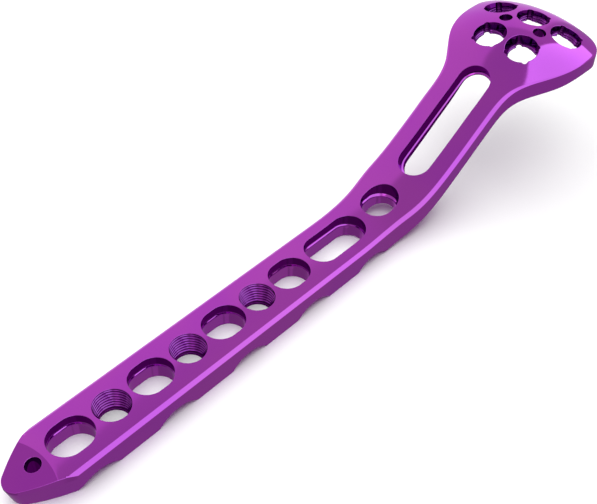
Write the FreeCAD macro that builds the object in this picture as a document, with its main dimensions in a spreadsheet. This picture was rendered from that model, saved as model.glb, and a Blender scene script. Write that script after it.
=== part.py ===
import FreeCAD, Part
import Sketcher
import math
import os

# Bone plate with a raised, flared head.  Millimetres, +Z up.
# X runs along the shaft toward the head, Y across the plate, Z away from the bone.
# Sketch datum: axis of the first locking hole of the shaft, on the flat bone-side face.
# The placed origin is one pitch further, at the middle locking hole, on that same face.

V = FreeCAD.Vector
doc = FreeCAD.newDocument("bone_plate")
sheet = doc.addObject("Spreadsheet::Sheet", "params")
row = [0]


def put(alias, value, note=""):
    row[0] += 1
    cell = "B%d" % row[0]
    sheet.set("A%d" % row[0], alias)
    sheet.set(cell, repr(float(value)))
    sheet.setAlias(cell, alias)
    if note:
        sheet.set("C%d" % row[0], note)


# ---------------------------------------------------------------- sizes
put("thick", 4.35, "shaft thickness on the centreline")
put("half_w", 5.52, "shaft half width")
put("bevel_y", 0.59, "width of the long top bevel")
put("bevel_z", 0.51, "height of the long top bevel")
put("crown", 0.145, "rise of the convex top across the shaft")
put("shaft_x0", -19.5, "raw end of the shaft stock")
put("shaft_x1", 47.6, "where the straight shaft meets the rising neck")

put("pitch", 14.6, "spacing of like holes in the shaft")
put("lock_top_r", 2.88, "locking hole radius at the top face")
put("lock_low_r", 2.36, "locking hole radius at the bone face")
put("lock_land", 0.60, "straight land at the bone side of a locking hole")
put("plain_x", -7.3, "first plain hole, from the datum")
put("plain_r", 2.79, "plain hole wall radius")
put("plain_e", 0.66, "half length of the straight part of a plain hole's counterbore")
put("wall_add", 0.22, "how much further the wall below runs each way")
put("sink_r", 2.99, "counterbore radius at the top face")
put("seat_r", 2.93, "counterbore radius where the conical seat begins")
put("seat_d", 1.75, "depth where the conical seat begins")
put("sink_d", 2.15, "depth where the conical seat ends")
put("slot_r", 3.05, "slot counterbore half width at the top face")
put("slot_x", 47.6, "centre of the shaft slot")
put("slot_e", 3.21, "half length of the straight part of the shaft slot")
put("bend_x", 58.98, "plain hole in the bend")
put("bend_z", 5.73, "height of the top face at that hole")
put("bend_tilt", 3.0, "tilt of that hole")
put("bend_sink_r", 2.99, "its counterbore radius")
put("bend_wall_r", 2.66, "its wall radius")
put("bend_e", 0.45, "half length of its straight part")
put("bend_add", 0.0, "how much further its wall runs each way")

put("neck_x", 76.0, "datum point of the neck slot")
put("neck_z", 13.77, "height of the top face there")
put("neck_tilt", 31.6, "rise of the neck")
put("neck_off", -0.32, "slot centre from the datum point, along the neck")
put("neck_e", 8.72, "half distance between the end centres")
put("neck_top_r", 3.05, "half width of the upper slot")
put("neck_low_r", 2.84, "half width of the lower slot")
put("neck_low_e", 8.58, "half distance between the end centres of the lower slot")
put("neck_d", 2.30, "depth of the step in the slot")

put("wire_r", 1.20, "wire hole radius")
put("tip_wire_x", -13.65, "wire hole in the tip")
put("facet_x", -11.9, "crease of the sloping tip face")
put("facet_tilt", 7.4, "slope of the tip face")

put("head_rim_r", 3.05, "head hole radius at the surface")
put("head_core_r", 2.50, "radius of the threaded columns")
put("head_sink", 1.35, "depth of the conical mouth")
put("lobe_r", 0.50, "radius of each of the four lobes")
put("lobe_off", 2.68, "lobe centre from the hole axis")
put("lobe_turn", 0.0, "turn of the columns about the hole axis")

put("scallop_r", 5.00, "radius of the bone-side undercuts")
put("scallop_h", 1.60, "height of an undercut at the plate edge")
put("scallop_y", 3.10, "where an undercut runs out under the plate")
put("scallop_x", -7.15, "first undercut")
put("scallop_n", 5, "number of undercuts along each edge")

# station: x, top height on the centreline, half width, bevel width, bevel height,
# sagitta of the convex top, height of the side wall, sagitta of the underside
STATIONS = [
    (47.6, 4.35, 5.52, 0.59, 0.51, 0.145, 3.695, 0.0),
    (47.9, 4.35, 5.52, 0.59, 0.51, 0.145, 3.695, 0.0),
    (48.3, 4.355, 5.52, 0.59, 0.51, 0.146, 3.698, 0.0),
    (48.9, 4.365, 5.52, 0.59, 0.51, 0.147, 3.702, 0.0),
    (49.8, 4.39, 5.52, 0.59, 0.51, 0.15, 3.705, 0.0),
    (51.6, 4.49, 5.525, 0.59, 0.51, 0.15, 3.71, 0.0),
    (53.6, 4.69, 5.555, 0.59, 0.52, 0.16, 3.71, 0.02),
    (55.7, 4.99, 5.65, 0.59, 0.53, 0.18, 3.71, 0.04),
    (58.2, 5.50, 5.87, 0.59, 0.55, 0.22, 3.67, 0.07),
    (60.7, 6.17, 6.24, 0.59, 0.58, 0.28, 3.58, 0.11),
    (63.2, 7.01, 6.50, 0.59, 0.61, 0.32, 3.51, 0.15),
    (65.8, 8.02, 6.56, 0.59, 0.64, 0.34, 3.45, 0.18),
    (68.3, 9.23, 6.56, 0.59, 0.67, 0.35, 3.37, 0.20),
    (70.8, 10.64, 6.56, 0.59, 0.68, 0.35, 3.27, 0.22),
    (73.4, 12.18, 6.56, 0.59, 0.68, 0.35, 3.18, 0.23),
    (75.9, 13.74, 6.56, 0.59, 0.68, 0.35, 3.11, 0.24),
    (78.4, 15.30, 6.57, 0.59, 0.67, 0.35, 3.05, 0.25),
    (81.0, 16.86, 6.58, 0.58, 0.65, 0.36, 2.98, 0.27),
    (83.0, 18.17, 6.76, 0.53, 0.58, 0.42, 2.89, 0.33),
    (85.0, 19.49, 7.44, 0.43, 0.45, 0.52, 2.82, 0.47),
    (87.0, 20.60, 8.70, 0.29, 0.30, 0.76, 2.79, 0.78),
    (89.1, 21.57, 10.07, 0.20, 0.20, 1.26, 2.78, 1.33),
    (91.1, 22.46, 11.12, 0.15, 0.15, 1.93, 2.76, 2.05),
    (93.1, 23.17, 11.86, 0.15, 0.15, 2.52, 2.70, 2.72),
    (95.1, 23.62, 12.36, 0.15, 0.15, 2.89, 2.56, 3.14),
    (97.2, 23.81, 12.63, 0.15, 0.15, 3.04, 2.45, 3.32),
    (99.4, 23.76, 12.71, 0.15, 0.15, 3.03, 2.41, 3.31),
    (101.7, 23.53, 12.71, 0.15, 0.15, 2.93, 2.41, 3.21),
    (103.7, 23.07, 12.71, 0.15, 0.15, 2.84, 2.42, 3.11),
    (105.8, 22.28, 12.71, 0.15, 0.15, 2.72, 2.45, 2.98),
    (107.8, 21.10, 12.71, 0.15, 0.15, 2.60, 2.50, 2.86),
]
COLS = ("px", "pz", "pw", "pby", "pbz", "pcr", "pwl", "pun")
for i, st in enumerate(STATIONS):
    for name, value in zip(COLS, st):
        put("%s_s%02d" % (name, i), value)

# head holes: x, y, height of the surface, tilt toward -X, tilt toward +Y
HEAD = {
    "a": (91.75, 3.50, 22.55, 14.0, 0.0),
    "b": (91.75, -3.50, 22.55, 14.0, 0.0),
    "c": (100.55, 7.12, 22.77, 3.0, 13.0),
    "d": (100.45, 0.0, 23.71, 3.0, 0.0),
    "e": (100.55, -7.12, 22.77, 3.0, -13.0),
}
WIRES = {
    "f": (96.85, 3.58, 23.38, 4.0, 8.0),
    "g": (96.85, -3.58, 23.38, 4.0, -8.0),
}
for table in (HEAD, WIRES):
    for key, vals in table.items():
        for name, value in zip(("hx", "hy", "hz", "hta", "htb"), vals):
            put("%s_%s" % (name, key), value)
doc.recompute()


def val(alias):
    return float(sheet.get(alias))


body = doc.addObject("PartDesign::Body", "bone_plate")
body.Label = "bone_plate"
body.Placement = FreeCAD.Placement(V(-14.6, 0, 0), FreeCAD.Rotation())
body.setExpression("Placement.Base.x", "-params.pitch")


def role(name):
    for f in body.Origin.OriginFeatures:
        if f.Role == name:
            return f
    raise RuntimeError(name)


def sketch(name, plane, base=V(0, 0, 0), rot=None, binds=None):
    sk = body.newObject("Sketcher::SketchObject", name)
    sk.AttachmentSupport = [(role(plane), "")]
    sk.MapMode = "FlatFace"
    sk.AttachmentOffset = FreeCAD.Placement(base, rot or FreeCAD.Rotation())
    for path, expr in (binds or {}).items():
        sk.setExpression(path, expr)
    return sk


def at(sk, geo, pos, x, y, ex=None, ey=None):
    # ties one vertex to the sketch origin; ex and ey are expressions for its distances
    for kind, v, e in (("DistanceX", x, ex), ("DistanceY", y, ey)):
        if abs(v) < 1e-9 and e is None:
            sk.addConstraint(Sketcher.Constraint("PointOnObject", geo, pos, -2 if kind == "DistanceX" else -1))
            continue
        if v >= 0:
            k = sk.addConstraint(Sketcher.Constraint(kind, -1, 1, geo, pos, v))
        else:
            k = sk.addConstraint(Sketcher.Constraint(kind, geo, pos, -1, 1, -v))
        if e:
            sk.setExpression("Constraints[%d]" % k, e)


def stadium(sk, r, e, er, ee, cx=0.0, ecx=None):
    # two half circles joined by straight sides, along the sketch's X axis
    a0 = sk.addGeometry(Part.ArcOfCircle(Part.Circle(V(cx + e, 0, 0), V(0, 0, 1), r), -math.pi / 2, math.pi / 2))
    a1 = sk.addGeometry(Part.ArcOfCircle(Part.Circle(V(cx - e, 0, 0), V(0, 0, 1), r), math.pi / 2, 3 * math.pi / 2))
    l0 = sk.addGeometry(Part.LineSegment(V(cx + e, r, 0), V(cx - e, r, 0)))
    l1 = sk.addGeometry(Part.LineSegment(V(cx - e, -r, 0), V(cx + e, -r, 0)))
    for g, p, h, q in ((a0, 2, l0, 1), (l0, 2, a1, 1), (a1, 2, l1, 1), (l1, 2, a0, 1)):
        sk.addConstraint(Sketcher.Constraint("Tangent", g, p, h, q))
    sk.addConstraint(Sketcher.Constraint("PointOnObject", a0, 3, -1))
    sk.addConstraint(Sketcher.Constraint("PointOnObject", a1, 3, -1))
    k = sk.addConstraint(Sketcher.Constraint("Radius", a0, r))
    sk.setExpression("Constraints[%d]" % k, er)
    k = sk.addConstraint(Sketcher.Constraint("DistanceX", a1, 3, a0, 3, 2 * e))
    sk.setExpression("Constraints[%d]" % k, "2 * (%s)" % ee)
    x = cx + e
    if x >= 0:
        k = sk.addConstraint(Sketcher.Constraint("DistanceX", -1, 1, a0, 3, x))
        sk.setExpression("Constraints[%d]" % k, "%s%s" % (ee, " + (%s)" % ecx if ecx else ""))


def circle(sk, x, y, r, er, ex=None, ey=None):
    g = sk.addGeometry(Part.Circle(V(x, y, 0), V(0, 0, 1), r))
    k = sk.addConstraint(Sketcher.Constraint("Radius", g, r))
    sk.setExpression("Constraints[%d]" % k, er)
    at(sk, g, 3, x, y, ex, ey)
    return g


def check_cut(feat, before, low, high):
    doc.recompute()
    cut = before - feat.Shape.Volume
    if not (low <= cut <= high):
        raise RuntimeError("%s removed %.2f mm3" % (feat.Name, cut))
    return feat


def pocket(name, sk, length=None, ex=None, through=False, symmetric=False, taper=0.0, texpr=None, reverse=False, low=0.5, high=400.0):
    before = body.Shape.Volume
    p = body.newObject("PartDesign::Pocket", name)
    p.Profile = sk
    p.Refine = False
    if symmetric:
        p.SideType = "Symmetric"
    if through:
        p.Type = "ThroughAll"
    else:
        p.Type = "Length"
        p.Length = length
        if ex:
            p.setExpression("Length", ex)
    if taper:
        p.TaperAngle = taper
        if texpr:
            p.setExpression("TaperAngle", texpr)
    p.Reversed = reverse
    sk.Visibility = False
    return check_cut(p, before, low, high)


# ---------------------------------------------------------------- cross sections
def section(name, i, shaft=False):
    x, zt, w, by, bz, cr, wl, un = STATIONS[i]
    s = "_s%02d" % i
    e = {c: "params.%s%s" % (c, s) for c in COLS}
    if shaft:
        x = val("shaft_x0")
        e = {"px": "params.shaft_x0", "pz": "params.thick", "pw": "params.half_w", "pby": "params.bevel_y",
             "pbz": "params.bevel_z", "pcr": "params.crown",
             "pwl": "(params.thick - params.crown - params.bevel_z)", "pun": "0"}
    sk = sketch(name, "YZ_Plane", V(0, 0, x), None, {".AttachmentOffset.Base.z": e["px"]})
    ye = w - by
    z3 = zt - cr
    z2 = z3 - bz
    z1 = z2 - wl
    pts = [V(-w, z1, 0), V(w, z1, 0), V(w, z2, 0), V(ye, z3, 0), V(-ye, z3, 0), V(-w, z2, 0)]
    right = sk.addGeometry(Part.LineSegment(pts[1], pts[2]))
    bev_r = sk.addGeometry(Part.LineSegment(pts[2], pts[3]))
    top = sk.addGeometry(Part.Arc(pts[3], V(0, zt, 0), pts[4]))
    bev_l = sk.addGeometry(Part.LineSegment(pts[4], pts[5]))
    left = sk.addGeometry(Part.LineSegment(pts[5], pts[0]))
    if un > 0:
        low = sk.addGeometry(Part.Arc(pts[1], V(0, z1 + un, 0), pts[0]))
        joins = [(right, 2, bev_r, 1), (bev_r, 2, top, 1), (top, 2, bev_l, 1), (bev_l, 2, left, 1),
                 (left, 2, low, 2), (low, 1, right, 1)]
    else:
        low = sk.addGeometry(Part.LineSegment(pts[0], pts[1]))
        joins = [(right, 2, bev_r, 1), (bev_r, 2, top, 1), (top, 2, bev_l, 1), (bev_l, 2, left, 1),
                 (left, 2, low, 1), (low, 2, right, 1)]
    for g, p, h, q in joins:
        sk.addConstraint(Sketcher.Constraint("Coincident", g, p, h, q))
    sk.addConstraint(Sketcher.Constraint("Vertical", right))
    sk.addConstraint(Sketcher.Constraint("Symmetric", top, 1, top, 2, -2))
    sk.addConstraint(Sketcher.Constraint("Symmetric", right, 2, left, 1, -2))
    sk.addConstraint(Sketcher.Constraint("Symmetric", right, 1, left, 2, -2))

    def dim(kind, a, b, value, expr):
        k = sk.addConstraint(Sketcher.Constraint(kind, a[0], a[1], b[0], b[1], value))
        sk.setExpression("Constraints[%d]" % k, expr)

    dim("DistanceX", (-1, 1), (right, 2), w, e["pw"])
    dim("DistanceX", (-1, 1), (top, 1), ye, "%s - %s" % (e["pw"], e["pby"]))
    dim("DistanceY", (-1, 1), (top, 1), z3, "%s - %s" % (e["pz"], e["pcr"]))
    dim("DistanceY", (right, 2), (top, 1), bz, e["pbz"])
    dim("DistanceY", (right, 1), (right, 2), wl, e["pwl"])
    k = sk.addConstraint(Sketcher.Constraint("Radius", top, (ye * ye + cr * cr) / (2 * cr)))
    sk.setExpression("Constraints[%d]" % k, "((%s - %s) * (%s - %s) + %s * %s) / (2 * %s)" % (
        e["pw"], e["pby"], e["pw"], e["pby"], e["pcr"], e["pcr"], e["pcr"]))
    if un > 0:
        k = sk.addConstraint(Sketcher.Constraint("Radius", low, (w * w + un * un) / (2 * un)))
        sk.setExpression("Constraints[%d]" % k, "(%s * %s + %s * %s) / (2 * %s)" % (
            e["pw"], e["pw"], e["pun"], e["pun"], e["pun"]))
    return sk


# straight shaft
sk = section("shaft_section", 0, True)
doc.recompute()
shaft = body.newObject("PartDesign::Pad", "shaft")
shaft.Profile = sk
shaft.Type = "Length"
shaft.Length = 67.1
shaft.setExpression("Length", "params.shaft_x1 - params.shaft_x0")
shaft.Refine = False
doc.recompute()
if shaft.Shape.BoundBox.XMax < val("shaft_x1") - val("pitch") - 0.1:
    shaft.Reversed = True
    doc.recompute()

# rising neck and domed head
secs = [section("station_%02d" % i, i) for i in range(len(STATIONS))]
doc.recompute()
head = body.newObject("PartDesign::AdditiveLoft", "neck_and_head")
head.Profile = secs[0]
head.Sections = secs[1:]
head.Ruled = False
head.Closed = False
head.Refine = False
for s in secs:
    s.Visibility = False
doc.recompute()
print("loft", head.State, head.Shape.isValid(), round(head.Shape.Volume, 1), head.Shape.BoundBox)

# ---------------------------------------------------------------- plan of the head end
sk = sketch("head_end_plan", "XY_Plane", V(0, 0, 12))
R, CX, CY, XE = 5.2, 100.98, 7.53, 106.35
corner = Part.ArcOfCircle(Part.Circle(V(CX, CY, 0), V(0, 0, 1), R), 0.0, math.pi / 2)
corner2 = Part.ArcOfCircle(Part.Circle(V(CX, -CY, 0), V(0, 0, 1), R), -math.pi / 2, 0.0)
g = [sk.addGeometry(corner),
     sk.addGeometry(Part.Arc(V(CX + R, -CY, 0), V(XE, 0, 0), V(CX + R, CY, 0))),
     sk.addGeometry(corner2)]
ring = [V(CX, -CY - R, 0), V(CX, -22, 0), V(118, -22, 0), V(118, 22, 0), V(CX, 22, 0), V(CX, CY + R, 0)]
for a, b in zip(ring[:-1], ring[1:]):
    g.append(sk.addGeometry(Part.LineSegment(a, b)))
sk.addConstraint(Sketcher.Constraint("Coincident", g[0], 1, g[1], 2))
sk.addConstraint(Sketcher.Constraint("Coincident", g[1], 1, g[2], 2))
sk.addConstraint(Sketcher.Constraint("Coincident", g[2], 1, g[3], 1))
for a, b in zip(g[3:-1], g[4:]):
    sk.addConstraint(Sketcher.Constraint("Coincident", a, 2, b, 1))
sk.addConstraint(Sketcher.Constraint("Coincident", g[-1], 2, g[0], 2))
doc.recompute()
pocket("head_end", sk, 40.0, symmetric=True, low=20.0, high=900.0)

# ---------------------------------------------------------------- tip
# the nose keeps a short upright lip, then its walls lean in toward the bone
SLOPE = math.radians(32.0)
NX, NR = -16.18, 2.24


def nose(name, z, centre, r, x_start, mid):
    s = sketch(name, "XY_Plane", V(0, 0, z))
    tx, ty = centre - r * math.sin(SLOPE), r * math.cos(SLOPE)
    geo = [Part.Arc(V(x_start, 5.85, 0), V(mid[0], mid[1], 0), V(tx, ty, 0)),
           Part.Arc(V(tx, ty, 0), V(centre - r, 0, 0), V(tx, -ty, 0)),
           Part.Arc(V(tx, -ty, 0), V(mid[0], -mid[1], 0), V(x_start, -5.85, 0)),
           Part.LineSegment(V(x_start, -5.85, 0), V(x_start, -9, 0)),
           Part.LineSegment(V(x_start, -9, 0), V(-26, -9, 0)),
           Part.LineSegment(V(-26, -9, 0), V(-26, 9, 0)),
           Part.LineSegment(V(-26, 9, 0), V(x_start, 9, 0)),
           Part.LineSegment(V(x_start, 9, 0), V(x_start, 5.85, 0))]
    for q in geo:
        s.addGeometry(q)
    s.Visibility = False
    return s


upper = nose("nose_top", 9.0, NX, NR, -9.4, (-13.2, 4.32))
lip = nose("nose_lip", 3.05, NX, NR, -9.4, (-13.2, 4.32))
lower = nose("nose_low", -1.0, -14.99, 2.41, -8.2, (-12.55, 4.17))
doc.recompute()
before = body.Shape.Volume
tip = body.newObject("PartDesign::SubtractiveLoft", "nose")
tip.Profile = upper
tip.Sections = [lip, lower]
tip.Ruled = True
tip.Refine = False
check_cut(tip, before, 100.0, 400.0)

# sloping face of the tip
sk = sketch("tip_face", "XZ_Plane")
tz = math.tan(math.radians(val("facet_tilt")))
fx, ft = val("facet_x"), val("thick")
pts = [V(-22, ft + (-22 - fx) * tz, 0), V(-6, ft + (-6 - fx) * tz, 0), V(-6, 8, 0), V(-22, 8, 0)]
for a, b in zip(pts, pts[1:] + pts[:1]):
    sk.addGeometry(Part.LineSegment(a, b))
for a in range(4):
    sk.addConstraint(Sketcher.Constraint("Coincident", a, 2, (a + 1) % 4, 1))
at(sk, 0, 1, pts[0].x, pts[0].y, None, "params.thick - (params.facet_x + 22) * tan(params.facet_tilt)")
at(sk, 0, 2, pts[1].x, pts[1].y, None, "params.thick + (-6 - params.facet_x) * tan(params.facet_tilt)")
at(sk, 1, 2, -6, 8)
at(sk, 2, 2, -22, 8)
doc.recompute()
pocket("tip_slope", sk, 30.0, symmetric=True, low=5.0, high=80.0)

# wire hole of the tip
sk = sketch("tip_wire_circle", "XY_Plane", V(0, 0, 8))
circle(sk, val("tip_wire_x"), 0, val("wire_r"), "params.wire_r", "-params.tip_wire_x")
doc.recompute()
pocket("tip_wire", sk, 20.0, low=10.0, high=30.0)

# ---------------------------------------------------------------- bone-side undercuts
cuts = []
for side, sg in (("left", 1.0), ("right", -1.0)):
    # the XZ plane's normal is -Y
    sk = sketch("undercut_%s_arc" % side, "XZ_Plane", V(0, 0, -sg * val("scallop_y")), None,
                {".AttachmentOffset.Base.z": "%s params.scallop_y" % ("-" if sg > 0 else "")})
    circle(sk, val("scallop_x"), -val("scallop_r"), val("scallop_r"), "params.scallop_r",
           "-params.scallop_x", "params.scallop_r")
    doc.recompute()
    before = body.Shape.Volume
    p = body.newObject("PartDesign::Pocket", "undercut_%s" % side)
    p.Profile = sk
    p.Type = "Length"
    p.Refine = False
    p.UseCustomVector = True
    rise = val("scallop_h") / (val("half_w") - val("scallop_y"))
    p.Direction = V(0, sg, rise)
    p.AlongSketchNormal = False
    p.Length = 7.0
    sk.Visibility = False
    doc.recompute()
    cut = before - p.Shape.Volume
    if not (4.0 < cut < 40.0):
        p.Reversed = not p.Reversed
        doc.recompute()
        cut = before - p.Shape.Volume
    print("undercut", side, round(cut, 2), p.State)
    if not (4.0 < cut < 40.0):
        raise RuntimeError("undercut %.2f" % cut)
    cuts.append(p)
before = body.Shape.Volume
pat = body.newObject("PartDesign::LinearPattern", "undercut_row")
pat.Originals = cuts
pat.Direction = (role("X_Axis"), [""])
pat.Length = 4 * val("pitch")
pat.setExpression("Length", "(params.scallop_n - 1) * params.pitch")
pat.Occurrences = 5
pat.setExpression("Occurrences", "params.scallop_n")
pat.Refine = False
body.Tip = pat
check_cut(pat, before, 20.0, 200.0)

# ---------------------------------------------------------------- shaft holes
LIFT = 0.8   # cutters start this far above the top face


def sunk(name, plane, base, rot, binds, e, ee, r_top, er_top, r_low, er_low, add, eadd):
    # counterbore, conical seat, then the straight wall through the plate
    turn = rot or FreeCAD.Rotation()
    seat, ds, d = val("seat_r"), val("seat_d"), val("sink_d")
    k = (r_top - seat) / ds
    base_up = base + turn.multVec(V(0, 0, LIFT))
    up = sketch(name + "_mouth", plane, base_up, rot, binds)
    stadium(up, r_top + k * LIFT, e, "%s + %f * (%s - params.seat_r) / params.seat_d" % (er_top, LIFT, er_top), ee)
    mid = sketch(name + "_seat_edge", plane, base - turn.multVec(V(0, 0, ds)), rot, binds)
    if rot is None:
        mid.setExpression(".AttachmentOffset.Base.z", "params.thick - params.seat_d")
    stadium(mid, seat, e, "params.seat_r", ee)
    lo = sketch(name + "_wall", plane, base_up, rot, binds)
    stadium(lo, r_low, e + add, er_low, "%s + %s" % (ee, eadd))
    doc.recompute()
    a = pocket(name + "_bore", up, ds + LIFT, "params.seat_d + %f" % LIFT, taper=-math.degrees(math.atan(k)),
               texpr="-atan((%s - params.seat_r) / params.seat_d)" % er_top, low=5.0, high=200.0)
    m = pocket(name + "_seat", mid, d - ds, "params.sink_d - params.seat_d",
               taper=-math.degrees(math.atan((seat - r_low) / (d - ds))),
               texpr="-atan((params.seat_r - %s) / (params.sink_d - params.seat_d))" % er_low, low=2.0, high=60.0)
    b = pocket(name + "_through", lo, 14.0, low=5.0, high=200.0)
    return a, m, b


plain = sunk("plain", "XY_Plane", V(val("plain_x"), 0, val("thick")), None,
             {".AttachmentOffset.Base.x": "params.plain_x"}, val("plain_e"), "params.plain_e",
             val("sink_r"), "params.sink_r", val("plain_r"), "params.plain_r", val("wall_add"), "params.wall_add")
before = body.Shape.Volume
pat = body.newObject("PartDesign::LinearPattern", "plain_row")
pat.Originals = list(plain)
pat.Direction = (role("X_Axis"), [""])
pat.Length = 3 * val("pitch")
pat.setExpression("Length", "3 * params.pitch")
pat.Occurrences = 4
pat.Refine = False
body.Tip = pat
check_cut(pat, before, 200.0, 560.0)

# locking holes: conical wall turned about the hole axis
sk = sketch("lock_profile", "XZ_Plane")
rt, rl, th, ld = val("lock_top_r"), val("lock_low_r"), val("thick"), val("lock_land")
cone = (rt - rl) / (th - ld)
pts = [V(0, -1, 0), V(rl, -1, 0), V(rl, ld, 0), V(rt + cone, th + 1, 0), V(0, th + 1, 0)]
for a, b in zip(pts, pts[1:] + pts[:1]):
    sk.addGeometry(Part.LineSegment(a, b))
for a in range(5):
    sk.addConstraint(Sketcher.Constraint("Coincident", a, 2, (a + 1) % 5, 1))
at(sk, 0, 1, 0, -1)
at(sk, 0, 2, rl, -1, "params.lock_low_r")
at(sk, 1, 2, rl, ld, "params.lock_low_r", "params.lock_land")
at(sk, 2, 2, rt + cone, th + 1, "params.lock_top_r + (params.lock_top_r - params.lock_low_r) / (params.thick - params.lock_land)", "params.thick + 1")
at(sk, 3, 2, 0, th + 1, None, "params.thick + 1")
doc.recompute()
before = body.Shape.Volume
lock = body.newObject("PartDesign::Groove", "lock_hole")
lock.Profile = sk
lock.ReferenceAxis = (sk, ["V_Axis"])
lock.Angle = 360.0
lock.Refine = False
sk.Visibility = False
check_cut(lock, before, 60.0, 130.0)
before = body.Shape.Volume
pat = body.newObject("PartDesign::LinearPattern", "lock_row")
pat.Originals = [lock]
pat.Direction = (role("X_Axis"), [""])
pat.Length = 2 * val("pitch")
pat.setExpression("Length", "2 * params.pitch")
pat.Occurrences = 3
pat.Refine = False
body.Tip = pat
check_cut(pat, before, 120.0, 260.0)

# shaft slot and the plain hole in the bend
sunk("slot", "XY_Plane", V(val("slot_x"), 0, val("thick")), None, {".AttachmentOffset.Base.x": "params.slot_x"},
     val("slot_e"), "params.slot_e", val("slot_r"), "params.slot_r", val("plain_r"), "params.plain_r",
     val("wall_add"), "params.wall_add")
sunk("bend", "XY_Plane", V(val("bend_x"), 0, val("bend_z")), FreeCAD.Rotation(V(0, 1, 0), -val("bend_tilt")), None,
     val("bend_e"), "params.bend_e", val("bend_sink_r"), "params.bend_sink_r", val("bend_wall_r"), "params.bend_wall_r",
     val("bend_add"), "params.bend_add")

# ---------------------------------------------------------------- neck slot
tilt = FreeCAD.Rotation(V(0, 1, 0), -val("neck_tilt"))
p0 = V(val("neck_x"), 0, val("neck_z"))
start = p0 + tilt.multVec(V(val("neck_off"), 0, 2.5))
up = sketch("neck_slot_upper", "XY_Plane", start, tilt)
stadium(up, val("neck_top_r"), val("neck_e"), "params.neck_top_r", "params.neck_e")
lo = sketch("neck_slot_lower", "XY_Plane", start, tilt)
stadium(lo, val("neck_low_r"), val("neck_low_e"), "params.neck_low_r", "params.neck_low_e")
doc.recompute()
pocket("neck_step", up, val("neck_d") + 2.5, "params.neck_d + 2.5", low=150.0, high=500.0)
pocket("neck_through", lo, 12.0, low=50.0, high=400.0)


# ---------------------------------------------------------------- head holes
def tilted(vals):
    x, y, z, ta, tb = vals
    rot = FreeCAD.Rotation(V(0, 1, 0), -ta).multiply(FreeCAD.Rotation(V(1, 0, 0), -tb))
    return V(x, y, z), rot


for key, vals in HEAD.items():
    p0, rot = tilted(vals)
    rim, core, dep = val("head_rim_r"), val("head_core_r"), val("head_sink")
    k = (rim - core) / dep
    up = sketch("mouth_" + key, "XY_Plane", p0 + rot.multVec(V(0, 0, LIFT)), rot)
    circle(up, 0, 0, rim + k * LIFT, "params.head_rim_r + %f * (params.head_rim_r - params.head_core_r) / params.head_sink" % LIFT)
    lo = sketch("core_" + key, "XY_Plane", p0 + rot.multVec(V(0, 0, LIFT)), rot)
    circle(lo, 0, 0, core, "params.head_core_r")
    doc.recompute()
    pocket("mouth_cut_" + key, up, dep + LIFT, "params.head_sink + %f" % LIFT,
           taper=-math.degrees(math.atan(k)),
           texpr="-atan((params.head_rim_r - params.head_core_r) / params.head_sink)", low=3.0, high=60.0)
    pocket("core_cut_" + key, lo, 9.0, low=5.0, high=90.0)
    off, lr, turn = val("lobe_off"), val("lobe_r"), val("lobe_turn")
    lob = sketch("lobes_" + key, "XY_Plane", p0 + rot.multVec(V(0, 0, LIFT)), rot)
    for q in range(4):
        a = math.radians(turn + 45 + 90 * q)
        circle(lob, off * math.cos(a), off * math.sin(a), lr, "params.lobe_r",
               "%s params.lobe_off * cos(params.lobe_turn + %d)" % ("-" if math.cos(a) < 0 else "", 45 + 90 * q),
               "%s params.lobe_off * sin(params.lobe_turn + %d)" % ("-" if math.sin(a) < 0 else "", 45 + 90 * q))
    doc.recompute()
    pocket("lobe_cut_" + key, lob, 9.0, low=0.5, high=60.0)

for key, vals in WIRES.items():
    p0, rot = tilted(vals)
    s = sketch("wire_" + key, "XY_Plane", p0 + rot.multVec(V(0, 0, 1.0)), rot)
    circle(s, 0, 0, val("wire_r"), "params.wire_r")
    doc.recompute()
    pocket("wire_cut_" + key, s, 8.0, low=5.0, high=30.0)

doc.recompute()

# ---------------------------------------------------------------- checks and files
os.makedirs("parts", exist_ok=True)
for o in doc.Objects:
    if "Invalid" in o.State or "Error" in o.State:
        raise RuntimeError("%s %s" % (o.Name, o.State))
    if hasattr(o, "Shape") and o.isDerivedFrom("PartDesign::Feature"):
        if o.Shape.isNull() or not o.Shape.isValid():
            raise RuntimeError("bad shape " + o.Name)
shape = body.Shape
if shape.isNull() or not shape.isValid() or len(shape.Solids) != 1:
    raise RuntimeError("body")
shape = shape.Solids[0]
shape.exportStep("parts/bone_plate.step")
c = shape.CenterOfMass
print("volume", round(shape.Volume, 2), "faces", len(shape.Faces), "box", shape.BoundBox)
print("centre of mass", round(c.x, 3), round(c.y, 3), round(c.z, 3))
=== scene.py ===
import math
import bpy
import bmesh
import numpy as np
from mathutils import Matrix, Vector
from mathutils.geometry import delaunay_2d_cdt


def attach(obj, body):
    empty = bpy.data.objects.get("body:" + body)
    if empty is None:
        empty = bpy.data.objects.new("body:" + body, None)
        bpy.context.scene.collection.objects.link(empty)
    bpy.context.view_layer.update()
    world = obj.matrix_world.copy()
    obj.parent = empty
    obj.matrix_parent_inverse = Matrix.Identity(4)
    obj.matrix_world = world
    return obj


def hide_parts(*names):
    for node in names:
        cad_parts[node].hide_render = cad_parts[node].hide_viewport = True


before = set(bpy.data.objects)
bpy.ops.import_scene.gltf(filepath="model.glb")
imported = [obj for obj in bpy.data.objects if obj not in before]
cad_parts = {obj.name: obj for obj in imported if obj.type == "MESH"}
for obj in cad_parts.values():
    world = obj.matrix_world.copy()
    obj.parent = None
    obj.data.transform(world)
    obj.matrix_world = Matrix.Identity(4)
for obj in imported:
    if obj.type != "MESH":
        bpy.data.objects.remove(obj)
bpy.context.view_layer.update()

# ------------------------------------------------------------------ sizes, in mm
# X runs from the first locking hole toward the head; the placed origin is one pitch further
PITCH = 14.6
THICK, HALF_W, BEVEL_Y, BEVEL_Z, CROWN = 4.35, 5.52, 0.59, 0.51, 0.145
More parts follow.
